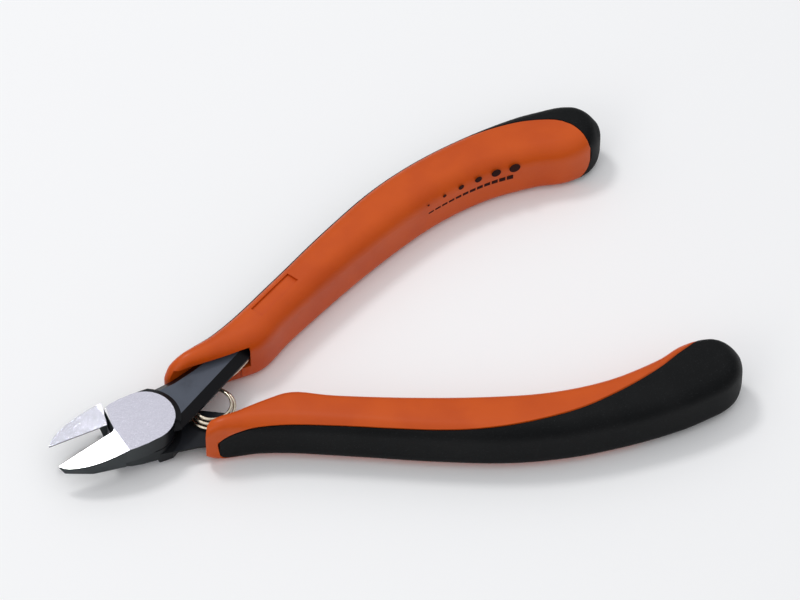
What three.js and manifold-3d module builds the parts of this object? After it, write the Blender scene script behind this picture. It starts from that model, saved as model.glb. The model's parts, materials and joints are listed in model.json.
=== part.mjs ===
// Diagonal cutting pliers with a lap joint, a torsion return spring and two-colour handles.
// Millimetres, +Z up, lying on the table and open. -X is the jaw tips, +X the handle ends.
// The pivot axis is parallel to Z. The front half is the upper lap, its handle is on the +Y side.
import * as THREE from 'three';
import { mergeVertices } from 'three/addons/utils/BufferGeometryUtils.js';
import Module from 'manifold-3d';

const wasm = await Module();
wasm.setup();

// Where the pivot and the lap plane stand in the part's own frame
const pivotX = -48.26;
const lapZ = 5;

// Motion: each half stands this far from closed
const openAngle = THREE.MathUtils.degToRad(7.5);

// Fits
const gap = 0.3;

// Head
const headTop = 4;
const lapClearance = 0.15;
const discRadius = 6.35;
const crescentRadius = 7.5;
const frontRim = 0.05;
const backRim = 1.1;
const tipX = -19.6;
const tipTop = 0.9;
const facetX = -6.6;
const edgeClearance = 0.12;
const edgeLand = 0.25;
const undercutEnd = -9.2;
const undercutAngle = THREE.MathUtils.degToRad(41);
const jawBelly = -0.9;
const bellyAngle = THREE.MathUtils.degToRad(42);

// Tangs
const tangLow = 1.5;
const tangHigh = 3.5;
const tangFlank = 1.8;
const tangWallTop = 2;
const tangBarWidth = 4.6;
const tangBarEnd = 84;

// Handles
const handleLow = -5;
const handleHigh = 7;
const handleRound = 2.4;
const noseRound = 1;
const noseEnd = 22;
const noseFront = 7.6;
const noseCorner = 4;
const slotBack = 26;
const slotLow = -0.8;
const slotHigh = 4;
const gripInset = 1.9;
const gripFront = 13;
const gripFrontInset = 0.8;
const gripInsetGrowth = 0.03;

// Pivot screw
const screwHeadRadius = 3.4;
const screwHeadLow = -4.3;
const screwHeadTop = -2.9;
const screwShaftRadius = 2.1;
const screwShaftTop = 2.7;
const screwSlotWidth = 0.9;
const screwSlotDepth = 0.7;

// Return spring
const wireRadius = 0.36;
const coilX = 14.5;
const coilWholeTurns = 3;
const coilTopRadius = 3.65;
const coilBottomRadius = 5.2;
const coilHalfHeight = 0.9;
const frontLegBend = [22.5, 5.6];
const backLegBend = [21.5, -7.3];
const legEnd = [31, 11.2];

const steelBlack = new THREE.MeshStandardMaterial({ color: 0x2a2d32, roughness: 0.35, metalness: 0.6 });
const springSteel = new THREE.MeshStandardMaterial({ color: 0xb9b09c, roughness: 0.3, metalness: 1.0 });
const screwSteel = new THREE.MeshStandardMaterial({ color: 0x3a3c40, roughness: 0.4, metalness: 0.9 });
const orangePlastic = new THREE.MeshStandardMaterial({ color: 0xd2561c, roughness: 0.45, metalness: 0.0 });
const blackRubber = new THREE.MeshStandardMaterial({ color: 0x141618, roughness: 0.75, metalness: 0.0 });

function solidFrom(geometry) {
  const bare = geometry.clone();
  bare.deleteAttribute('normal');
  bare.deleteAttribute('uv');
  const merged = mergeVertices(bare, 1e-4);
  const mesh = new wasm.Mesh({
    numProp: 3,
    vertProperties: new Float32Array(merged.attributes.position.array),
    triVerts: new Uint32Array(merged.index.array),
  });
  return new wasm.Manifold(mesh);
}

function geometryFrom(solid) {
  const mesh = solid.getMesh();
  const geometry = new THREE.BufferGeometry();
  geometry.setAttribute('position', new THREE.BufferAttribute(mesh.vertProperties, 3));
  geometry.setIndex(new THREE.BufferAttribute(mesh.triVerts, 1));
  geometry.computeVertexNormals();
  return geometry;
}

// A closed outline in plan, made of points
function outline(points) {
  return new THREE.Shape(points.map(([x, y]) => new THREE.Vector2(x, y)));
}

// An upright slab between two heights. The bevel draws its rims in, by its size in plan and height.
function slab(shape, low, high, bevel = 0, bevelSegments = 1, bevelHeight = bevel) {
  const geometry = new THREE.ExtrudeGeometry(shape, {
    depth: high - low - 2 * bevelHeight,
    bevelEnabled: bevel > 0,
    bevelThickness: bevelHeight,
    bevelSize: bevel,
    bevelOffset: -bevel,
    bevelSegments,
    curveSegments: 3,
  });
  geometry.translate(0, 0, low + bevelHeight);
  return solidFrom(geometry);
}

// An upright round post between two heights, straight or tapered
function post(radius, low, high, topRadius = radius, segments = 40) {
  const geometry = new THREE.CylinderGeometry(topRadius, radius, high - low, segments);
  geometry.rotateX(Math.PI / 2);
  geometry.translate(0, 0, (low + high) / 2);
  return solidFrom(geometry);
}

// A smooth line through points, sampled as plain pairs
function smoothLine(points, count) {
  const curve = new THREE.SplineCurve(points.map(([x, y]) => new THREE.Vector2(x, y)));
  return curve.getSpacedPoints(count).map((p) => [p.x, p.y]);
}

// A line moved sideways, to its left for a positive distance
function besideLine(points, distance) {
  return points.map(([x, y], i) => {
    const [ax, ay] = points[Math.max(i - 1, 0)];
    const [bx, by] = points[Math.min(i + 1, points.length - 1)];
    const length = Math.hypot(bx - ax, by - ay);
    return [x - ((by - ay) / length) * distance, y + ((bx - ax) / length) * distance];
  });
}

// Head, drawn closed and then turned open. The front half's jaw is on the -Y side.
// Outer edge of the jaw, from the tip back to the shoulder
const jawOuter = smoothLine([[tipX, -0.35], [-18.4, -1.9], [-15.7, -3.6], [-12, -4.95], [-7.5, -5.85]], 12);

function frontJaw() {
  const plan = outline([[tipX, -edgeClearance], ...jawOuter, [-7.4, -5.2], [-7.6, -edgeClearance]]);
  let jaw = slab(plan, -headTop, headTop);
  const tip = [tipX, -0.6];
  const middle = [-14, -4.1];
  const root = [-7.5, -5.95];
  jaw = jaw.subtract(bellyCutter(tip, middle)).subtract(bellyCutter(middle, root));
  return jaw;
}

// What lies outside and below the belly line of the jaw, cut off by a leaning plane
function bellyCutter([ax, ay], [bx, by]) {
  const reach = 30;
  const geometry = new THREE.BoxGeometry(reach, reach, reach);
  geometry.translate(0, -reach / 2, 0);
  geometry.rotateX(bellyAngle);
  geometry.rotateZ(Math.atan2(by - ay, bx - ax));
  geometry.translate(ax, ay, jawBelly);
  return solidFrom(geometry);
}

// The lap as it lies in the front half: the ground disc and its bridge to the jaw
function lapPlate(rim) {
  const bridge = outline([
    [-9.4, -edgeClearance], [-9.4, -5.45], [-8.4, -5.7], [-5.6, -6.2], [-2.5, -6.4], [0, -6.3],
    [0, 6.3], [-2, 6.45], [-4.2, 6.35], [-5.4, 6.05], [-6, 5.6], [-6.65, 0.4], [-7, -edgeClearance],
  ]);
  const plate = slab(bridge, lapClearance - rim, headTop, rim).trimByPlane([0, 0, 1], lapClearance);
  const disc = post(discRadius, lapClearance, headTop - rim);
  const rimCone = post(discRadius, headTop - rim, headTop, discRadius - rim);
  return plate.add(disc).add(rimCone);
}

const facetSlope = Math.atan2(headTop - tipTop, facetX - tipX);

// Ground facets on both faces of the jaws, falling towards the tips
function cutFacets(solid) {
  let cut = solid;
  const reach = 40;
  for (const turn of [0, Math.PI]) {
    const facet = new THREE.BoxGeometry(reach, reach, reach);
    facet.translate(-reach / 2, 0, reach / 2);
    facet.rotateY(-facetSlope);
    facet.translate(facetX, 0, headTop);
    facet.rotateX(turn);
    cut = cut.subtract(solidFrom(facet));
  }
  return cut;
}

// Relief under the cutting edge, so the two edges meet at the ground face
function frontRelief() {
  const reach = 20;
  const relief = new THREE.BoxGeometry(reach, reach, reach);
  relief.translate(undercutEnd - facetX - reach / 2, reach / 2, -reach / 2);
  relief.rotateX(-undercutAngle);
  relief.rotateY(-facetSlope);
  relief.translate(facetX, -edgeClearance, headTop - edgeLand);
  return solidFrom(relief);
}

// Tang, drawn open. It runs from the disc into the sleeve and along the handle.
const tangSpine = smoothLine([[33, 14.9], [44.3, 20.4], [57.6, 26.8], [70.3, 31.8], [tangBarEnd, 35.1]], 9);

function tangPlan(clearance) {
  const half = tangBarWidth / 2 + clearance;
  const outer = [[8.7, 7.5], [13.2, 8.9], [20, 11.5], [28, 15]].map(([x, y]) => [x, y + clearance]);
  const inner = [[28.7, 9], [24.6, 6.35], [14.9, 0.6]].map(([x, y]) => [x, y - clearance]);
  const end = [tangBarEnd + clearance, 35.2];
  return outline([
    [1, 6.3], ...outer, ...besideLine(tangSpine, half), end,
    ...besideLine(tangSpine, -half).reverse(), ...inner, [8.4, -3.3], [6.4, -4.4], [3, -4],
  ]);
}

function frontTang() {
  const flankHeight = tangHigh - tangWallTop;
  const whole = slab(tangPlan(0), tangLow - flankHeight, tangHigh, tangFlank, 1, flankHeight);
  const bar = whole.trimByPlane([0, 0, 1], tangLow);
  const collar = post(crescentRadius, tangLow, tangHigh);
  const slope = post(crescentRadius, tangHigh, headTop, discRadius);
  const sector = slab(outline([[0, 0], [0.6, 6.25], [8.7, 7.5], [9, -3], [6.5, -3.6]]), 0, headTop);
  return bar.add(collar.add(slope).intersect(sector));
}

// Screw hole: counterbored from the back, through the lower lap and blind in the upper one
function screwHole() {
  const shaft = post(screwShaftRadius + gap, screwHeadTop, screwShaftTop + gap);
  const counterbore = post(screwHeadRadius + gap, -headTop - 1, screwHeadTop + gap);
  return shaft.add(counterbore);
}

const turnOver = [180, 0, 0];
const openDegrees = THREE.MathUtils.radToDeg(openAngle);

function frontHalf() {
  const head = cutFacets(frontJaw().add(lapPlate(frontRim))).subtract(frontRelief());
  return head.rotate([0, 0, openDegrees]).add(frontTang()).subtract(screwHole());
}

function backHalf() {
  const jaw = frontJaw().mirror([0, 1, 0]);
  const lap = lapPlate(backRim).rotate(turnOver);
  const head = cutFacets(jaw.add(lap)).subtract(frontRelief().mirror([0, 1, 0]));
  return head.rotate([0, 0, -openDegrees]).add(frontTang().rotate(turnOver)).subtract(screwHole());
}

function pivotScrew() {
  const headEnd = post(screwHeadRadius, screwHeadLow, screwHeadTop);
  const shaft = post(screwShaftRadius, screwHeadTop - 0.5, screwShaftTop, screwShaftRadius, 28);
  const slot = new THREE.BoxGeometry(3 * screwHeadRadius, screwSlotWidth, 2 * screwSlotDepth);
  slot.translate(0, 0, screwHeadLow);
  return headEnd.add(shaft).subtract(solidFrom(slot));
}

// Spring wire: a leg in the front sleeve, a coil that widens downwards, and a leg in the back sleeve
function springPath() {
  const centre = new THREE.Vector2(coilX, 0);
  const touchAngle = (bend, radius) => {
    const toBend = new THREE.Vector2(bend[0], Math.abs(bend[1])).sub(centre);
    return toBend.angle() + Math.acos(radius / toBend.length());
  };
  const start = touchAngle(frontLegBend, coilTopRadius);
  const sweep = 2 * Math.PI * coilWholeTurns - touchAngle(backLegBend, coilBottomRadius) - start;
  const coilSteps = 40;
  const points = [new THREE.Vector3(...legEnd, coilHalfHeight), new THREE.Vector3(...frontLegBend, coilHalfHeight)];
  for (let i = 0; i <= coilSteps; i += 1) {
    const t = i / coilSteps;
    const angle = start + sweep * t;
    const radius = THREE.MathUtils.lerp(coilTopRadius, coilBottomRadius, t);
    const z = THREE.MathUtils.lerp(coilHalfHeight, -coilHalfHeight, t);
    points.push(new THREE.Vector3(coilX + radius * Math.cos(angle), radius * Math.sin(angle), z));
  }
  points.push(new THREE.Vector3(...backLegBend, -coilHalfHeight));
  points.push(new THREE.Vector3(legEnd[0], -legEnd[1], -coilHalfHeight));
  return new THREE.CatmullRomCurve3(points, false, 'centripetal');
}

function returnSpring() {
  const section = new THREE.Shape();
  section.absarc(0, 0, wireRadius, 0, 2 * Math.PI);
  const geometry = new THREE.ExtrudeGeometry(section, {
    steps: 88,
    curveSegments: 4,
    bevelEnabled: false,
    extrudePath: springPath(),
  });
  return solidFrom(geometry);
}

// Handle, drawn open, on the +Y side. Plan from the nose along the outer edge, round the end and back.
const handleOuter = [
  [14.3, 11.2], [23.8, 14.8], [37.3, 21.8], [50.9, 29.1], [64.3, 35.4], [76.3, 39.1], [88.3, 41.1], [99, 41.8],
];
const handleEnd = [
  [105.7, 41.4], [110, 40.8], [113.2, 39.3], [115.3, 37], [116.1, 34.3], [115.5, 31.5], [113.2, 29.2],
  [109.5, 27.9], [105, 27.9],
];
const handleInner = [[99.3, 29.3], [88.3, 29.9], [76.3, 28], [63.8, 23.8], [50.3, 18.1], [37, 11.7], [29.5, 7.4]];
const handleNose = [[24, 6.9], [14, 7.3], [9.2, 7.3], [7.8, 8.6], [9.2, 9.9]];

function handleBody() {
  const whole = outline(smoothLine([[9.2, 9.9], ...handleOuter, ...handleEnd, ...handleInner, ...handleNose], 84));
  const wide = outline(smoothLine(
    [[19.5, 13], ...handleOuter.slice(1), ...handleEnd, ...handleInner, [24, 6.8], [19.5, 7.1], [19.5, 13]], 76));
  const nose = new THREE.BoxGeometry(noseEnd, noseEnd, noseEnd);
  nose.translate(noseEnd / 2, noseEnd / 2, 0);
  const round = slab(wide, handleLow, handleHigh, handleRound, 3).add(solidFrom(nose));
  return slab(whole, handleLow, handleHigh, noseRound, 2).intersect(round).intersect(noseProfile());
}

// The nose seen from the side: its top and bottom corners are rounded
function noseProfile() {
  const reach = 130;
  const side = new THREE.Shape();
  side.moveTo(reach, handleLow);
  side.lineTo(noseFront + noseCorner, handleLow);
  side.absarc(noseFront + noseCorner, handleLow + noseCorner, noseCorner, -Math.PI / 2, -Math.PI, true);
  side.absarc(noseFront + noseCorner, handleHigh - noseCorner, noseCorner, Math.PI, Math.PI / 2, true);
  side.lineTo(reach, handleHigh);
  const geometry = new THREE.ExtrudeGeometry(side, { depth: reach, bevelEnabled: false, curveSegments: 5 });
  geometry.rotateX(Math.PI / 2);
  geometry.translate(0, reach / 2, 0);
  return solidFrom(geometry);
}

// The edge of the soft grip in plan: it follows the outer edge and then sweeps across the end
function gripEdge() {
  const along = smoothLine([[gripFront, 10.7], ...handleOuter.slice(1)], 22).filter(([x]) => x < 89);
  const inner = besideLine(along, -1);
  const insetAt = (x) => Math.min(gripFrontInset + (x - gripFront) * gripInsetGrowth, gripInset);
  const inset = along.map(([x]) => insetAt(x));
  const line = along.map(([x, y], i) => [x + (inner[i][0] - x) * inset[i], y + (inner[i][1] - y) * inset[i]]);
  const across = smoothLine([[91.5, 38.6], [99.3, 36.4], [105, 32.9], [109.5, 25]], 8);
  return [...line, ...across];
}

// The side of that edge which the grip covers, drawn back from the core by the clearance
function gripRegion(clearance) {
  const edge = besideLine(gripEdge(), -clearance);
  const front = gripFront - clearance;
  const reach = 130;
  return outline([[front, edge[0][1]], ...edge, [112, 20], [reach, 20], [reach, reach], [front, reach]]);
}

const gripTool = slab(gripRegion(0), -20, 20);
const gripClearance = slab(gripRegion(gap), -20, 20);

// What the tang and the spring leg need inside the sleeve. Its lower wall is set back at the nose.
function sleeveHollow(turned) {
  const mouth = outline([[0, 7.4], [8.7, 7.5], [13.2, 8.8], [20, 11.5], [slotBack, 14.2], [slotBack, -8], [0, -8]]);
  const throat = outline([[slotBack - 0.1, 7], [28.5, 8.9], [33, 11.6], [33, 17], [slotBack - 0.1, 14.2]]);
  const bore = slab(tangPlan(gap + 0.05), tangLow - gap, tangHigh + gap);
  const setBack = outline(turned
    ? [[4, 4], [4, 11], [8.4, 10.6], [9.3, 9.9], [10.3, 8.5], [11.7, 7.5], [13.2, 7.2], [24, 6.8], [24, 4]]
    : [[4, 5], [4, 12.4], [9.4, 10.9], [11.5, 9.9], [17, 8.3], [24, 7.2], [24, 5]]);
  const setBackTop = turned ? handleHigh + 1 : slotLow + 0.1;
  const opening = slab(mouth, slotLow, slotHigh).add(slab(throat, slotLow, slotHigh - 0.2));
  return opening.add(bore).add(slab(setBack, handleLow - 3, setBackTop));
}

function handleCore(turned) {
  const hollow = turned ? sleeveHollow(true).mirror([0, 0, 1]) : sleeveHollow(false);
  const core = handleBody().subtract(gripClearance).subtract(hollow);
  return turned ? core.mirror([0, 1, 0]) : core;
}

function handleGrip(turned) {
  const grip = handleBody().intersect(gripTool);
  return turned ? grip.mirror([0, 1, 0]) : grip;
}

const pliers = new THREE.Group();

function addPiece(name, solid, material) {
  const mesh = new THREE.Mesh(geometryFrom(solid), material);
  mesh.name = name;
  mesh.position.set(pivotX, 0, lapZ);
  pliers.add(mesh);
}

addPiece('front_half', frontHalf(), steelBlack);
addPiece('back_half', backHalf(), steelBlack);
addPiece('pivot_screw', pivotScrew(), screwSteel);
addPiece('return_spring', returnSpring(), springSteel);
addPiece('front_handle_core', handleCore(false), orangePlastic);
addPiece('back_handle_core', handleCore(true), orangePlastic);
addPiece('front_handle_grip', handleGrip(false), blackRubber);
addPiece('back_handle_grip', handleGrip(true), blackRubber);

export default pliers;
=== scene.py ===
# Diagonal cutting pliers, lying open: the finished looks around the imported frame.
# Lengths in the dictionaries are millimetres, with places counted from the pivot, and put() turns them
# into metres in the part. The handles are drawn on the +Y side. Only the lights' sizes are metres.
import json
import math
import bmesh
import bpy
import numpy as np
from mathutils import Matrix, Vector


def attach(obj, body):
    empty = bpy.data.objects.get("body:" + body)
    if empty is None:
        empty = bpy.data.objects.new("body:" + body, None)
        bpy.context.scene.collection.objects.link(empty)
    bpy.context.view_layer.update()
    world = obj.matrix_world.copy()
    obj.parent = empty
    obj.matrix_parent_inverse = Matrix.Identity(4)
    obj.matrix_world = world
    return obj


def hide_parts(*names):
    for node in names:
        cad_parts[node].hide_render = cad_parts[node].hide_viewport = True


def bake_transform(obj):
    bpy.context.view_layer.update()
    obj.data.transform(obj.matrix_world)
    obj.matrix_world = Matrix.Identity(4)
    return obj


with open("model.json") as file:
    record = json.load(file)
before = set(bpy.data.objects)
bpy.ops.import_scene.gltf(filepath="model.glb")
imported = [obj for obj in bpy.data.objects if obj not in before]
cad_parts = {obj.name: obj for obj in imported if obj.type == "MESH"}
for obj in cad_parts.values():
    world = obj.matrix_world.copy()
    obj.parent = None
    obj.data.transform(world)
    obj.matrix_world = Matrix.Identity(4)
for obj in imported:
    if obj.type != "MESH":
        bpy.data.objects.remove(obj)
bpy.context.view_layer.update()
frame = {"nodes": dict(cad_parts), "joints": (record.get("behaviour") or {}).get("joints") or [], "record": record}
pivot = np.array(frame["joints"][0]["pos_m"])
openAngle = math.radians(-frame["record"]["behaviour"]["joints"][0]["range_deg"][0])
mm = 0.001
print("frame loaded, pivot at", pivot)


def put(points):
    # millimetres from the pivot to metres in the part
    return pivot + np.array(points, float) * mm


# Camera

view = dict(aim=(60.04, 9.28, 1), elevation=50.709, azimuth=-23.613, distance=1129.17, lens=248.63, sensor=36)


def lookFrom(direction, aim):
    return (Vector(aim) - Vector(direction)).to_track_quat("-Z", "Y").to_euler()


def makeCamera():
    a, e = math.radians(view["azimuth"]), math.radians(view["elevation"])
    back = np.array([math.sin(a) * math.cos(e), -math.cos(a) * math.cos(e), math.sin(e)])
    aim = put(view["aim"])
    spot = aim + back * view["distance"] * mm
    camera = bpy.data.objects.new("camera", bpy.data.cameras.new("camera"))
    camera.location = spot
    camera.rotation_euler = lookFrom(spot, aim)
    camera.data.lens = view["lens"]
    camera.data.sensor_width = view["sensor"]
    camera.data.clip_end = 20
    bpy.context.scene.collection.objects.link(camera)
    bpy.context.scene.camera = camera


makeCamera()


# Shader helpers

class Wire:
    # one socket of a node tree, with arithmetic
    def __init__(self, finish, socket):
        self.finish = finish
        self.socket = socket

    def math(self, operation, *values):
        inputs = {i: value for i, value in enumerate(values)}
        return self.finish.node("ShaderNodeMath", dict(operation=operation), inputs)

    def __add__(self, other):
        return self.math("ADD", self, other)

    def __radd__(self, other):
        return self.math("ADD", other, self)

    def __sub__(self, other):
        return self.math("SUBTRACT", self, other)

    def __rsub__(self, other):
        return self.math("SUBTRACT", other, self)

    def __mul__(self, other):
        return self.math("MULTIPLY", self, other)

    def __rmul__(self, other):
        return self.math("MULTIPLY", other, self)

    def ramp(self, low, high, lowValue=0.0, highValue=1.0):
        # a smooth step from one value to the other
        settings = dict(interpolation_type="SMOOTHSTEP")
        inputs = {"Value": self, "From Min": low, "From Max": high, "To Min": lowValue, "To Max": highValue}
        return self.finish.node("ShaderNodeMapRange", settings, inputs)


class Finish:
    # a material and its one main shader
    def __init__(self, name, **constants):
        self.material = bpy.data.materials.new(name)
        self.material.use_nodes = True
        self.tree = self.material.node_tree
        self.shader = next(n for n in self.tree.nodes if n.type == "BSDF_PRINCIPLED")
        for key, value in constants.items():
            self.shader.inputs[key.replace("_", " ")].default_value = value

    def node(self, kind, settings=None, inputs=None, output=0):
        made = self.tree.nodes.new(kind)
        for key, value in (settings or {}).items():
            setattr(made, key, value)
        for key, value in (inputs or {}).items():
            if isinstance(value, Wire):
                self.tree.links.new(value.socket, made.inputs[key])
            else:
                made.inputs[key].default_value = value
        return Wire(self, made.outputs[output])

    def place(self):
        return self.node("ShaderNodeTexCoord", output="Object")

    def axis(self, index):
        # one object coordinate: 0, 1 or 2
        return self.node("ShaderNodeSeparateXYZ", None, {"Vector": self.place()}, index)

    def stretched(self, scale, turn=0.0):
        # object coordinates turned about the vertical and stretched
        inputs = {"Vector": self.place(), "Rotation": (0, 0, turn), "Scale": scale}
        return self.node("ShaderNodeMapping", dict(vector_type="POINT"), inputs)

    def noise(self, scale, detail, vector=None):
        inputs = {"Vector": vector or self.place(), "Scale": scale, "Detail": detail}
        return self.node("ShaderNodeTexNoise", None, inputs)

    def blend(self, factor, first, second):
        # sockets 6, 7 and output 2 are the colour ones
        return self.node("ShaderNodeMix", dict(data_type="RGBA"), {0: factor, 6: first, 7: second}, 2)

    def feed(self, name, wire):
        self.tree.links.new(wire.socket, self.shader.inputs[name])

    def bump(self, height, distance, strength):
        inputs = {"Height": height, "Distance": distance, "Strength": strength}
        self.feed("Normal", self.node("ShaderNodeBump", None, inputs))


def rgb(r, g, b):
    return (r, g, b, 1.0)


# Steel: heights and distances are from the lap plane and the pivot
steelLooks = dict(
    ground=rgb(0.60, 0.59, 0.67), scratch=rgb(0.44, 0.44, 0.51), gloss=rgb(0.005, 0.0055, 0.007),
    oxide=rgb(0.045, 0.052, 0.055), tangTop=3.5, jawEnd=-6.4, facetStart=-6.75, collar=7.45,
    level=(0.94, 0.96), oxideFade=(-8, 5), edge=0.1, brushScale=1400, cloudScale=260,
    paintRough=0.30, discRough=0.20, facetRough=0.10)


def forgedSteel(name, turn, facetPaintedLight, topPaintedSheen):
    finish = Finish(name, IOR=1.25)
    along = finish.axis(0) - pivot[0]
    across = finish.axis(1)
    height = finish.axis(2) - pivot[2]
    radius = along.math("SQRT", along * along + across * across)
    facing = finish.node("ShaderNodeNewGeometry", output="True Normal")
    normal = finish.node("ShaderNodeSeparateXYZ", None, {"Vector": facing}, 2)
    level = normal.math("ABSOLUTE", normal).ramp(*steelLooks["level"])
    lift = height.math("ABSOLUTE", height)
    # a short ramp at each border keeps it crisp
    edge = steelLooks["edge"]
    onHead = lift.ramp((steelLooks["tangTop"] + edge) * mm, (steelLooks["tangTop"] + 3 * edge) * mm)
    jawEnd = steelLooks["jawEnd"]
    onJaw = along.ramp((jawEnd - 2 * edge) * mm, (jawEnd + 2 * edge) * mm, 1.0, 0.0)
    polished = level * onHead.math("MAXIMUM", onHead, onJaw)
    start = steelLooks["facetStart"]
    forward = along - across * math.sin(turn)
    facet = level * forward.ramp((start - 1.5 * edge) * mm, (start + 1.5 * edge) * mm, 1.0, 0.0)
    beyond = radius.ramp((steelLooks["collar"] - edge) * mm, (steelLooks["collar"] + edge) * mm)
    brush = finish.noise(steelLooks["brushScale"], 4, finish.stretched((1, 26, 4), turn))
    cloud = finish.noise(steelLooks["cloudScale"], 3)
    # The jaw facet's colour is painted light: near white, a painted highlight, on the front half, and darker,
    # painted shade, on the back half.
    groundWithPaintedFacet = finish.blend(facet, steelLooks["ground"], facetPaintedLight)
    brushedWithPaintedFacet = finish.blend(brush.ramp(0.35, 0.75, 0.0, 0.35) * (1 - 0.8 * facet), groundWithPaintedFacet, steelLooks["scratch"])
    oxidised = along.ramp(steelLooks["oxideFade"][0] * mm, steelLooks["oxideFade"][1] * mm, 1.0, 0.0)
    side = finish.blend(oxidised, steelLooks["gloss"], steelLooks["oxide"])
    # Faces that look straight up, off the jaw and past the collar, take the top colour: a painted sheen of sky
    # reflection over the black coat, lighter grey on the front half and near black on the back half.
    coatWithPaintedSheen = finish.blend(level * (1 - onJaw) * beyond, side, topPaintedSheen)
    wearAndPaintedSheen = finish.blend(cloud.ramp(0.45, 0.8, 0.0, 0.25), coatWithPaintedSheen, steelLooks["gloss"])
    finish.feed("Base Color", finish.blend(polished, wearAndPaintedSheen, brushedWithPaintedFacet))
    finish.feed("Metallic", polished)
    paintRough = steelLooks["paintRough"] + 0.18 * (level + onJaw) + 0.1 * cloud
    discRough = steelLooks["discRough"] + 0.14 * brush
    groundRough = discRough * (1 - facet) + steelLooks["facetRough"] * facet
    finish.feed("Roughness", paintRough * (1 - polished) + polished * groundRough)
    relief = brush * polished + cloud * (1 - polished) * 0.8
    finish.bump(relief, 0.00002, 0.35)
    return finish.material


def bareSteel(name, colour, dark, roughness, scale):
    finish = Finish(name, Metallic=1.0)
    drawn = finish.noise(scale, 4, finish.stretched((1, 1, 3)))
    finish.feed("Base Color", finish.blend(drawn.ramp(0.35, 0.75), colour, dark))
    finish.feed("Roughness", roughness + 0.12 * drawn)
    finish.bump(drawn, 0.00001, 0.3)
    return finish.material


def moulded(name, colour, deep, roughness, grain, depth, speckle=None, ior=1.47):
    finish = Finish(name, IOR=ior)
    cloud = finish.noise(90, 3)
    fine = finish.noise(grain, 2)
    base = finish.blend(cloud.ramp(0.35, 0.7), colour, deep)
    if speckle:
        dust = finish.noise(grain * 1.7, 1)
        base = finish.blend(dust.ramp(0.66, 0.74, 0.0, 0.6), base, speckle)
    finish.feed("Base Color", base)
    finish.feed("Roughness", roughness + 0.12 * (cloud - 0.5) + 0.08 * fine)
    finish.bump(fine, depth, 0.5)
    return finish.material


# The two halves are the same ground steel: their facet colours are painted light, a painted highlight on the front
# facet and painted shade on the back facet, and the front half's top faces carry a painted sheen.
frontSteel = forgedSteel(
    "forged_steel_front", openAngle, facetPaintedLight=rgb(0.97, 0.96, 0.97), topPaintedSheen=rgb(0.080, 0.092, 0.118))
backSteel = forgedSteel(
    "forged_steel_back", -openAngle, facetPaintedLight=rgb(0.68, 0.68, 0.76), topPaintedSheen=rgb(0.012, 0.014, 0.018))
screwSteel = bareSteel("screw_steel", rgb(0.20, 0.21, 0.23), rgb(0.12, 0.13, 0.14), 0.32, 1500)
springSteel = bareSteel("spring_steel", rgb(0.70, 0.62, 0.50), rgb(0.48, 0.42, 0.33), 0.16, 2400)
orangePlastic = moulded(
    "handle_orange", rgb(0.60, 0.085, 0.004), rgb(0.54, 0.070, 0.003), 0.33, 2600, 0.00002, ior=1.33)
blackRubber = moulded(
    "grip_black", rgb(0.0035, 0.004, 0.0045), rgb(0.006, 0.0065, 0.007), 0.5, 3200, 0.00006,
    rgb(0.04, 0.042, 0.045), ior=1.2)
printInk = moulded(
    "marking_ink", rgb(0.030, 0.004, 0.002), rgb(0.020, 0.003, 0.002), 0.6, 2600, 0.00001, ior=1.2)
print("finishes made")


def newPiece(name, points, faces, material):
    mesh = bpy.data.meshes.new(name)
    mesh.from_pydata([tuple(p) for p in points], [], faces)
    piece = bpy.data.objects.new(name, mesh)
    bpy.context.scene.collection.objects.link(piece)
    piece.data.materials.append(material)
    return piece


def tidyMesh(piece, sharpAngle=35, weld=1e-6):
    # welds doubled corners, turns the faces out and keeps the real corners crisp
    shape = bmesh.new()
    shape.from_mesh(piece.data)
    bmesh.ops.remove_doubles(shape, verts=shape.verts, dist=weld)
    bmesh.ops.dissolve_degenerate(shape, dist=weld, edges=shape.edges)
    bmesh.ops.recalc_face_normals(shape, faces=shape.faces)
    for face in shape.faces:
        face.smooth = True
    for edge in shape.edges:
        edge.smooth = len(edge.link_faces) == 2 and edge.calc_face_angle() < math.radians(sharpAngle)
    shape.to_mesh(piece.data)
    shape.free()
    return piece


def applied(piece):
    # bakes the modifiers into the mesh
    bpy.context.view_layer.update()
    baked = bpy.data.meshes.new_from_object(piece.evaluated_get(bpy.context.evaluated_depsgraph_get()))
    piece.modifiers.clear()
    piece.data = baked
    return piece


def smoothLine(points, count):
    # an even Catmull-Rom line through the points
    p = np.array(points, float)
    p = np.vstack([2 * p[0] - p[1], p, 2 * p[-1] - p[-2]])
    t = np.linspace(0, 1, 24, endpoint=False)[:, None]
    runs = []
    for a, b, c, d in zip(p, p[1:], p[2:], p[3:]):
        runs.append(0.5 * (2 * b + (c - a) * t + (2 * a - 5 * b + 4 * c - d) * t ** 2
                           + (3 * b - a - 3 * c + d) * t ** 3))
    line = np.vstack(runs + [p[-2]])
    return evenly(line, np.linspace(0, 1, count))


def evenly(line, fractions):
    # points at those fractions of the line's length
    steps = np.r_[0, np.cumsum(np.linalg.norm(np.diff(line, axis=0), axis=1))]
    at = np.array(fractions) * steps[-1]
    return np.stack([np.interp(at, steps, line[:, k]) for k in range(line.shape[1])], 1)


def prism(name, outline, low, high):
    # an upright cutter between two heights
    n = len(outline)
    points = put([(x, y, z) for z in (low, high) for x, y in outline])
    sides = [(i, (i + 1) % n, n + (i + 1) % n, n + i) for i in range(n)]
    faces = sides + [tuple(range(n))[::-1], tuple(range(n, 2 * n))]
    mesh = bpy.data.meshes.new(name)
    mesh.from_pydata([tuple(p) for p in points], [], faces)
    cutter = bpy.data.objects.new(name, mesh)
    bpy.context.scene.collection.objects.link(cutter)
    return tidyMesh(cutter)


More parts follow.
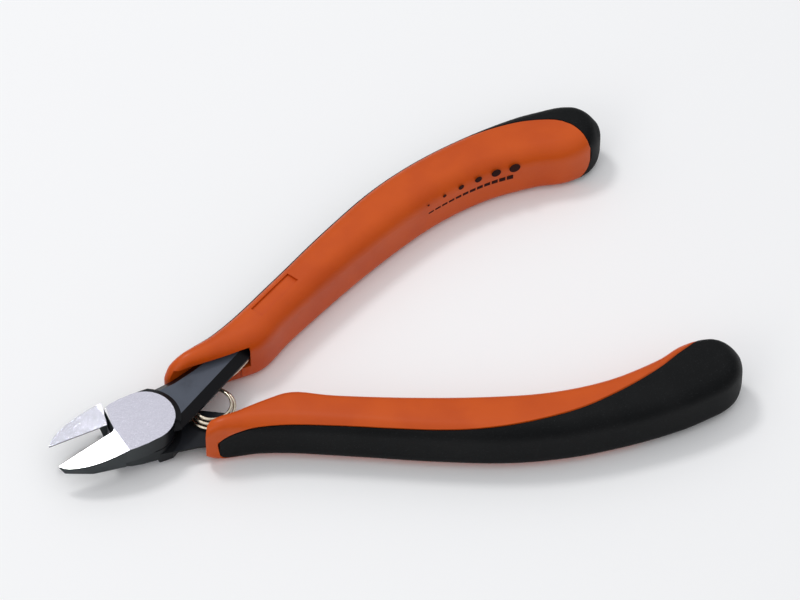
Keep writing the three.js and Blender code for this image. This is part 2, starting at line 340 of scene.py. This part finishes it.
def cutBy(piece, cutters):
    for cutter in cutters:
        modifier = piece.modifiers.new("cut", "BOOLEAN")
        modifier.operation = "DIFFERENCE"
        modifier.solver = "EXACT"
        modifier.object = cutter
        applied(piece)
        bpy.data.objects.remove(cutter)
    return piece


# Handles

handle = dict(
    outer=[(9.2, 9.9), (14.3, 11.2), (23.8, 14.8), (37.3, 21.8), (50.9, 29.1), (64.3, 35.4), (76.3, 39.1),
           (88.3, 41.1), (99, 41.8)],
    end=[(105.7, 41.4), (110, 40.8), (113.2, 39.3), (115.3, 37), (116.1, 34.3), (115.5, 31.5), (113.2, 29.2),
         (109.5, 27.9), (105, 27.9)],
    inner=[(99.3, 29.3), (88.3, 29.9), (76.3, 28), (63.8, 23.8), (50.3, 18.1), (37, 11.7), (29.5, 7.4)],
    nose=[(24, 6.9), (14, 7.3), (9.2, 7.3), (7.8, 8.6)],
    spine=[(7.82, 8.6), (14, 9.3), (20, 10.3), (26, 12.0), (33, 14.9), (44.3, 20.4), (57.6, 26.8),
           (70.3, 31.8), (84, 35.1), (97, 35.7), (107, 35), (115.91, 34.4)],
    low=-5, high=7, skin=0.03, crown=0.45, outerRound=2.9, sight=0.4, sharpAngle=38, weld=4e-6,
    innerRound=dict(narrow=[(8, 3.5), (110, 3.5)], swept=[(8, 4.0), (13, 3.2), (17, 2.2), (24, 1.7)]),
    noseRound=6.6, noseBlunt=0.2, endRound=4.5, endBlunt=0.3)

grip = dict(
    narrow=[(11.9, 2.6), (12.3, 3.9), (13.2, 4.8), (16, 5.2), (30, 5.2), (55, 5.2), (85, 5.3), (92, 5.9),
            (100.4, 7.3), (106.5, 8.9), (109.5, 10.9), (111, 13.2), (112, 16), (112.4, 19), (112.5, 25)],
    swept=[(11.9, 0.2), (13, 1.3), (14.5, 2.4), (16.2, 3.3), (18.5, 4.0), (25, 4.6), (35, 5.0), (45, 5.2),
           (55, 5.5), (63, 6.3), (73, 7.9), (82, 9.6), (94, 12.9), (103, 15.6), (107, 16.6), (110, 17.6),
           (112, 19), (112.5, 25)],
    depth=1.0, recess=1.25, lip=0.22, edge=0.25, solidRows=8, coreEnd=112.5)


def rayOut(ring, origin, direction):
    # distance from a point to the ring along a direction
    a = ring
    b = np.roll(ring, -1, axis=0)
    side = b - a
    away = a - origin
    across = direction[0] * side[:, 1] - direction[1] * side[:, 0]
    across = np.where(abs(across) < 1e-12, 1e-12, across)
    reach = (away[:, 0] * side[:, 1] - away[:, 1] * side[:, 0]) / across
    share = (away[:, 0] * direction[1] - away[:, 1] * direction[0]) / across
    hits = reach[(share >= 0) & (share <= 1) & (reach > 1e-6)]
    return hits.min() if len(hits) else 0.0


def stations():
    # how far along the spine each row stands: the rows are closer together at the nose and at the end
    middle = np.linspace(6, 103, 76)
    nose = 6 * (1 - np.cos(np.linspace(0, math.pi / 2, 22)))
    end = 109.0 - 6 * (1 - np.cos(np.linspace(0, math.pi / 2, 24)))[::-1]
    return np.r_[nose, middle, end]


def handleSections():
    h = handle
    ring = smoothLine(h["outer"] + h["end"] + h["inner"] + h["nose"] + [h["outer"][0]], 700)
    spine = smoothLine(h["spine"], 800)
    steps = np.r_[0, np.cumsum(np.linalg.norm(np.diff(spine, axis=0), axis=1))]
    total = steps[-1]
    wanted = stations()
    wanted = np.unique(np.round(wanted / wanted.max() * total, 5))
    rows = []
    half = (h["high"] - h["low"]) / 2
    for s in wanted:
        behind, at, ahead = (np.array([np.interp(s + d, steps, spine[:, k]) for k in (0, 1)])
                             for d in (-h["sight"], 0, h["sight"]))
        run = (ahead - behind) / np.linalg.norm(ahead - behind)
        left = np.array([-run[1], run[0]])
        outer = max(rayOut(ring, at, left) - h["skin"], 0.0)
        inner = max(rayOut(ring, at, -left) - h["skin"], 0.0)
        tip = s < 1e-6 or s > total - 1e-6
        atNose = corner(s, h["noseRound"], h["noseBlunt"])
        atEnd = corner(total - s, h["endRound"], h["endBlunt"])
        tall = half - atNose - atEnd
        rows.append(dict(at=at, left=left, outer=0 if tip else outer, inner=0 if tip else inner, tall=tall))
    return rows


def corner(distance, radius, blunt):
    # how much a rounded end takes off the height at that distance from the tip
    inward = radius - distance - blunt
    return radius - math.sqrt(radius ** 2 - inward ** 2) if inward > 0 else 0.0


def sectionLine(row, face):
    # half a section, from the middle of the inner wall over that face to the middle of the outer wall
    wide = row["outer"] + row["inner"]
    tall = row["tall"]
    places, rounds = zip(*handle["innerRound"][face])
    inRound = min(np.interp(row["at"][0], places, rounds), 0.48 * wide, 0.8 * tall)
    outRound = min(handle["outerRound"], 0.5 * wide, 0.8 * tall)
    quarter = np.linspace(0, math.pi / 2, 9)
    points = [(-row["inner"], z) for z in np.linspace(0, tall - inRound, 5)]
    points += [(-row["inner"] + inRound * (1 - math.cos(q)), tall - inRound * (1 - math.sin(q)))
               for q in quarter]
    points += [(x, tall) for x in np.linspace(-row["inner"] + inRound, row["outer"] - outRound, 8)]
    points += [(row["outer"] - outRound * (1 - math.sin(q)), tall - outRound * (1 - math.cos(q)))
               for q in quarter]
    points += [(row["outer"], z) for z in np.linspace(tall - outRound, 0, 5)]
    line = np.array(points)
    middle = (row["outer"] - row["inner"]) / 2
    spread = (line[:, 0] - middle) / max(wide / 2, 1e-6)
    line[:, 1] -= handle["crown"] * min(1, wide / 10) * spread ** 2 * line[:, 1] / max(tall, 1e-6)
    return line


def lengthOf(line):
    return np.linalg.norm(np.diff(line, axis=0), axis=1).sum()


def inward(line, distance, row):
    # the section drawn in towards its middle
    wide = max((row["outer"] + row["inner"]) / 2, 1e-6)
    tall = max(row["tall"], 1e-6)
    middle = (row["outer"] - row["inner"]) / 2
    near = np.minimum(distance, 0.6 * wide)
    down = np.minimum(distance, 0.6 * tall)
    return np.stack([middle + (line[:, 0] - middle) * (1 - near / wide), line[:, 1] * (1 - down / tall)], 1)


class HandleShape:
    # rows of points of one handle: what the core shows, and the outer and inner skin of the grip
    def __init__(self, side):
        self.side = side
        self.zMiddle = (handle["low"] + handle["high"]) / 2
        self.rows = handleSections()
        self.faces = ("narrow", "swept") if side > 0 else ("swept", "narrow")
        self.reaches = [smoothLine(grip[face], 400) for face in self.faces]

    def reach(self, row, table, total):
        # share of a half section that the grip covers, from the outer wall
        x = row["at"][0]
        return 0.0 if x < table[0, 0] else min(float(np.interp(x, table[:, 0], table[:, 1])), total) / total

    def world(self, row, flat):
        # (sideways, height) pairs of a row to metres in the part
        plan = row["at"][None, :] + flat[:, :1] * row["left"][None, :]
        points = np.column_stack([plan[:, 0], plan[:, 1] * self.side, flat[:, 1] + self.zMiddle])
        return put(points)

    def fractions(self, row):
        lines = [sectionLine(row, face) for face in self.faces]
        up, down = (self.reach(row, table, lengthOf(line)) for table, line in zip(self.reaches, lines))
        return lines, up, down


def lerpLine(lines, fractions):
    # points at fractions of the half sections, counted from the inner wall, negative ones on the lower half
    found = []
    for line, sign in zip(lines, (1, -1)):
        steps = np.r_[0, np.cumsum(np.linalg.norm(np.diff(line, axis=0), axis=1))]
        at = np.abs(fractions) * steps[-1]
        found.append(np.stack([np.interp(at, steps, line[:, 0]), sign * np.interp(at, steps, line[:, 1])], 1))
    return np.where(np.array(fractions)[:, None] < 0, found[1], found[0])


def coreRing(shape, row, visible=72, hidden=20):
    # the whole section: the visible part, and the part that lies deeper under the grip
    lines, up, down = shape.fractions(row)
    low, high = down - 1, 1 - up
    lip = grip["lip"] / max(lengthOf(lines[0]), 1e-3) if up + down > 0 else 0.0
    flat = lerpLine(lines, np.clip(np.linspace(-1, 1, visible), low + lip, high - lip))
    if lip:
        flat[[0, -1]] = inward(lerpLine(lines, [low, high]), grip["edge"], row)
    around = np.r_[np.linspace(high, 1, hidden // 2), np.linspace(-1, low, hidden // 2)]
    under = inward(lerpLine(lines, around), grip["recess"] if lip else 0.0, row)
    return np.vstack([flat, under])


def gripRing(shape, row, across=80):
    # outer and inner skin of the grip, from its edge on the upper face round to the one on the lower
    lines, up, down = shape.fractions(row)
    closed = up > 0.999 and down > 0.999
    lip = 0.0 if closed else grip["lip"] / max(lengthOf(lines[0]), 1e-3)
    half = np.linspace(0, 1, across // 2)
    around = np.r_[np.maximum(half, min(1 - up + lip, 1)), np.minimum(half - 1, max(down - 1 - lip, -1))]
    outer = lerpLine(lines, around)
    if not closed:
        around[[0, -1]] = 1 - up, down - 1
        outer[[0, -1]] = inward(lerpLine(lines, around[[0, -1]]), grip["lip"], row)
    under = inward(lerpLine(lines, around), grip["depth"], row)
    return outer, under, closed


def joinRings(count, rows, wrap=True):
    # quads between rows of equal point counts
    faces = []
    for r in range(rows - 1):
        for k in range(count if wrap else count - 1):
            n = (k + 1) % count
            faces.append((r * count + k, r * count + n, (r + 1) * count + n, (r + 1) * count + k))
    return faces


def makeCore(side, name):
    shape = HandleShape(side)
    rings = [shape.world(row, coreRing(shape, row)) for row in shape.rows if row["at"][0] < grip["coreEnd"]]
    count = len(rings[0])
    faces = joinRings(count, len(rings))
    faces.append(tuple(range(count)))
    faces.append(tuple((len(rings) - 1) * count + k for k in range(count))[::-1])
    piece = newPiece(name, np.vstack(rings), faces, orangePlastic)
    tidyMesh(piece, handle["sharpAngle"], handle["weld"])
    return piece


def makeGrip(side, name):
    shape = HandleShape(side)
    rows = [row for row in shape.rows if shape.fractions(row)[1] > 0]
    outers, unders, shut = [], [], []
    for row in rows:
        outer, under, closed = gripRing(shape, row)
        outers.append(shape.world(row, outer))
        unders.append(shape.world(row, under))
        shut.append(closed)
    count = len(outers[0])
    # the last rows have no inner skin: the grip is solid there
    deep = len(rows) - grip["solidRows"]
    points = np.vstack(outers + unders[:deep])
    base = len(rows) * count
    faces = joinRings(count, len(rows), wrap=False)
    faces += [tuple(base + k for k in face)[::-1] for face in joinRings(count, deep, wrap=False)]
    for r in range(deep - 1):
        if shut[r] and shut[r + 1]:
            continue
        for k in (0, count - 1):
            a, b = r * count + k, (r + 1) * count + k
            faces.append((a, b, base + b, base + a) if k else (base + a, base + b, b, a))
    faces.append(tuple(range(count)) + tuple(base + k for k in range(count))[::-1])
    faces.append(tuple(base + (deep - 1) * count + k for k in range(count)))
    piece = newPiece(name, points, faces, blackRubber)
    tidyMesh(piece, handle["sharpAngle"], handle["weld"])
    return piece


sleeve = dict(
    mouth=[(0, 7.4), (8.7, 7.5), (13.2, 8.8), (20, 11.5), (26, 14.2), (26, -8), (0, -8)], low=-0.8, high=4,
    throat=[(25.9, 7), (28.5, 8.9), (33, 11.6), (33, 17), (25.9, 14.2)], throatHigh=3.8,
    setBack=[(4, 5), (4, 12.4), (9.4, 10.9), (11.5, 9.9), (17, 8.3), (24, 7.2), (24, 5)], setBackHigh=-0.7,
    noseCut=[(4, 4), (4, 11), (8.4, 10.6), (9.3, 9.9), (10.3, 8.5), (11.7, 7.5), (13.2, 7.2), (24, 6.8),
             (24, 4)],
    frontHigh=4.8,
    badge=[(29.5, 14.9), (30.7, 12.2), (41.2, 18), (39.9, 20.5)], badgeFloor=6.4)


def sleeveCutters(side):
    # The pocket that clasps the tang. The back handle's is turned over, and its nose is cut at full height.
    deep, tall = handle["low"] - 1, handle["high"] + 1
    low, throatHigh = sleeve["low"], sleeve["throatHigh"]
    cuts = dict(
        mouth=(low, sleeve["frontHigh"]), throat=(low, throatHigh), setBack=(deep, sleeve["setBackHigh"]),
    ) if side > 0 else dict(
        mouth=(-sleeve["high"], -low), throat=(-throatHigh, -low), noseCut=(deep, tall))
    turned = {key: [(x, y * side) for x, y in sleeve[key]] for key in cuts}
    return [prism("sleeve_" + key, turned[key], *heights) for key, heights in cuts.items()]


def makeHandle(side, body):
    core = makeCore(side, body + "_handle_shell")
    cutters = sleeveCutters(side)
    if side > 0:
        cutters.append(prism("badge_recess", sleeve["badge"], sleeve["badgeFloor"], handle["high"] + 1))
    cutBy(core, cutters)
    tidyMesh(core, handle["sharpAngle"])
    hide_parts(body + "_handle_core")
    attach(core, body)
    cover = makeGrip(side, body + "_handle_cushion")
    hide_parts(body + "_handle_grip")
    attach(cover, body)
    print(body, "handle made,", len(core.data.polygons), "and", len(cover.data.polygons), "faces")


makeHandle(1, "front")
makeHandle(-1, "back")


# Printed size marks on the front handle's inner wall

marks = dict(
    dotHeight=4.3, barHeight=1.7, first=74.5, last=95, wires=(0.3, 0.5, 0.8, 1.0, 1.3, 1.5), film=0.03,
    dotScale=0.8, dashes=12, dashShare=0.8, barThin=0.35, barThick=1.1)


def innerWall(x):
    # a point on the inner wall, and the directions along it and out of it
    ring = smoothLine(handle["inner"], 200)
    order = np.argsort(ring[:, 0])
    y = [np.interp(x + d, ring[order, 0], ring[order, 1]) for d in (-0.5, 0, 0.5)]
    run = np.array([1.0, y[2] - y[0]])
    run /= np.linalg.norm(run)
    return np.array([x, y[1] + handle["skin"]]), run, np.array([run[1], -run[0]])


def filmPiece(name, patches):
    # thin films of ink, each an outline of (along, up) about a point of the wall
    points, faces = [], []
    for x, z, outline in patches:
        spot, run, out = innerWall(x)
        base = len(points)
        n = len(outline)
        for lift in (-marks["film"], marks["film"]):
            for u, v in outline:
                here, _, away = innerWall(x + u * run[0])
                points.append((*(here + away * lift), z + v))
        faces += [(base + k, base + (k + 1) % n, base + n + (k + 1) % n, base + n + k) for k in range(n)]
        faces += [tuple(base + k for k in range(n))[::-1], tuple(base + n + k for k in range(n))]
    piece = newPiece(name, put(points), faces, printInk)
    tidyMesh(piece)
    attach(piece, "front")


def makeMarks():
    turn = np.linspace(0, 2 * math.pi, 32, endpoint=False)
    spots = np.linspace(marks["first"], marks["last"], len(marks["wires"]))
    radii = [marks["dotScale"] * d for d in marks["wires"]]
    dots = [(x, marks["dotHeight"], [(r * math.cos(a), r * math.sin(a)) for a in turn])
            for x, r in zip(spots, radii)]
    filmPiece("wire_size_dots", dots)
    count = marks["dashes"]
    ends = np.linspace(marks["first"], marks["last"], count + 1)
    widths = np.linspace(marks["barThin"], marks["barThick"], count + 1) / 2
    bars = []
    for a, b, low, high in zip(ends, ends[1:], widths, widths[1:]):
        long = (b - a) * marks["dashShare"]
        bars.append((a, marks["barHeight"], [(0, -low), (long, -high), (long, high), (0, low)]))
    filmPiece("wire_size_bar", bars)
    print("size marks made")


makeMarks()


# Steel halves and the pivot screw

def refined(node, name, material, body, width):
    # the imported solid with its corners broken, as a ground and tumbled part has them
    source = frame["nodes"][node]
    shape = bmesh.new()
    shape.from_mesh(source.data)
    bmesh.ops.remove_doubles(shape, verts=shape.verts, dist=3e-6)
    bmesh.ops.dissolve_limit(shape, angle_limit=math.radians(0.6), verts=shape.verts, edges=shape.edges)
    mesh = bpy.data.meshes.new(name)
    shape.to_mesh(mesh)
    shape.free()
    piece = bpy.data.objects.new(name, mesh)
    bpy.context.scene.collection.objects.link(piece)
    piece.data.materials.clear()
    piece.data.materials.append(material)
    bevel = piece.modifiers.new("broken edges", "BEVEL")
    bevel.width = width * mm
    bevel.segments = 2
    bevel.limit_method = "ANGLE"
    bevel.angle_limit = math.radians(28)
    bevel.use_clamp_overlap = True
    applied(piece)
    tidyMesh(piece, 13)
    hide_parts(node)
    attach(piece, body)
    print(name, len(piece.data.polygons), "faces")


refined("front_half", "front_cutter_half", frontSteel, "front", 0.1)
refined("back_half", "back_cutter_half", backSteel, "back", 0.1)
refined("pivot_screw", "slotted_pivot_screw", screwSteel, "pivot", 0.15)


# Return spring

spring = dict(
    wire=0.36, coilX=14.5, turns=3, topRadius=3.65, bottomRadius=5.2, halfHeight=0.9,
    frontBend=(22.5, 5.6), backBend=(21.5, -7.3), legEnd=(31, 11.2))


def touchAngle(bend, radius):
    # where a straight leg leaves the coil
    away = np.array([bend[0] - spring["coilX"], abs(bend[1])])
    return math.atan2(away[1], away[0]) + math.acos(radius / np.linalg.norm(away))


def wireMesh(name, path, sides=14):
    path = np.array(path)
    run = np.gradient(path, axis=0)
    run /= np.linalg.norm(run, axis=1)[:, None]
    out = np.cross(run, [0, 0, 1])
    out /= np.linalg.norm(out, axis=1)[:, None]
    up = np.cross(out, run)
    rings = []
    for p, o, u in zip(path, out, up):
        turn = np.linspace(0, 2 * math.pi, sides, endpoint=False)[:, None]
        rings.append(put(p + spring["wire"] * (np.cos(turn) * o + np.sin(turn) * u)))
    faces = joinRings(sides, len(path))
    faces.append(tuple(range(sides))[::-1])
    faces.append(tuple((len(path) - 1) * sides + k for k in range(sides)))
    piece = newPiece(name, np.vstack(rings), faces, springSteel)
    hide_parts("return_spring")
    return tidyMesh(piece, 60)


def makeSpring():
    s = spring
    start = touchAngle(s["frontBend"], s["topRadius"])
    sweep = 2 * math.pi * s["turns"] - touchAngle(s["backBend"], s["bottomRadius"]) - start
    t = np.linspace(0, 1, 220)
    radius = s["topRadius"] + (s["bottomRadius"] - s["topRadius"]) * t
    angle = start + sweep * t
    height = s["halfHeight"] * (1 - 2 * t)
    coil = np.column_stack([s["coilX"] + radius * np.cos(angle), radius * np.sin(angle), height])
    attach(wireMesh("spring_coil", coil), "pivot")
    legs = (("front", coil[0], s["frontBend"], 1), ("back", coil[-1], s["backBend"], -1))
    for body, first, bend, turn in legs:
        knee = (*bend, first[2])
        tip = (s["legEnd"][0], s["legEnd"][1] * turn, first[2])
        path = smoothLine([first, (first + np.array(knee)) / 2, knee, tip], 40)
        leg = wireMesh("spring_leg_" + body, path)
        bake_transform(leg)
    print("spring made")


makeSpring()


# Floor and light

studio = dict(
    horizon=0.12, zenith=1.05,
    lights=dict(
        key_above=dict(direction=(-0.14, 0.45, 0.882), distance=1.0, size=0.22, power=2.2),
        fill_left=dict(direction=(-0.8, -0.5, 0.6), distance=1.2, size=0.7, power=1.5)))


def makeFloor():
    reach = 3.0
    corners = [(-reach, -reach, 0), (reach, -reach, 0), (reach, reach, 0), (-reach, reach, 0)]
    finish = Finish("floor", Roughness=0.9, Specular_IOR_Level=0.1)
    cloud = finish.noise(3, 2)
    finish.feed("Base Color", finish.blend(cloud, rgb(0.93, 0.93, 0.935), rgb(0.95, 0.95, 0.95)))
    floor = newPiece("floor", corners, [(0, 1, 2, 3)], finish.material)
    floor.location.z = -0.00005


def makeLight(name, direction, distance, size, power):
    light = bpy.data.lights.new(name, "AREA")
    light.shape = "DISK"
    light.size = size
    light.energy = power
    holder = bpy.data.objects.new(name, light)
    aim = Vector(put((20, 0, 0)))
    spot = aim + Vector(direction).normalized() * distance
    holder.location = spot
    holder.rotation_euler = lookFrom(spot, aim)
    bpy.context.scene.collection.objects.link(holder)


def makeWorld():
    world = bpy.data.worlds.new("studio")
    bpy.context.scene.world = world
    world.use_nodes = True
    tree = world.node_tree
    place = tree.nodes.new("ShaderNodeTexCoord")
    height = tree.nodes.new("ShaderNodeSeparateXYZ")
    sky = tree.nodes.new("ShaderNodeMapRange")
    sky.inputs["To Min"].default_value = studio["horizon"]
    sky.inputs["To Max"].default_value = studio["zenith"]
    background = tree.nodes["Background"]
    background.inputs["Color"].default_value = rgb(0.97, 0.98, 1.0)
    tree.links.new(place.outputs["Generated"], height.inputs[0])
    tree.links.new(height.outputs[2], sky.inputs["Value"])
    tree.links.new(sky.outputs[0], background.inputs["Strength"])
    bpy.context.scene.view_settings.view_transform = "Standard"


makeFloor()
makeWorld()
for name, light in studio["lights"].items():
    makeLight(name, **light)
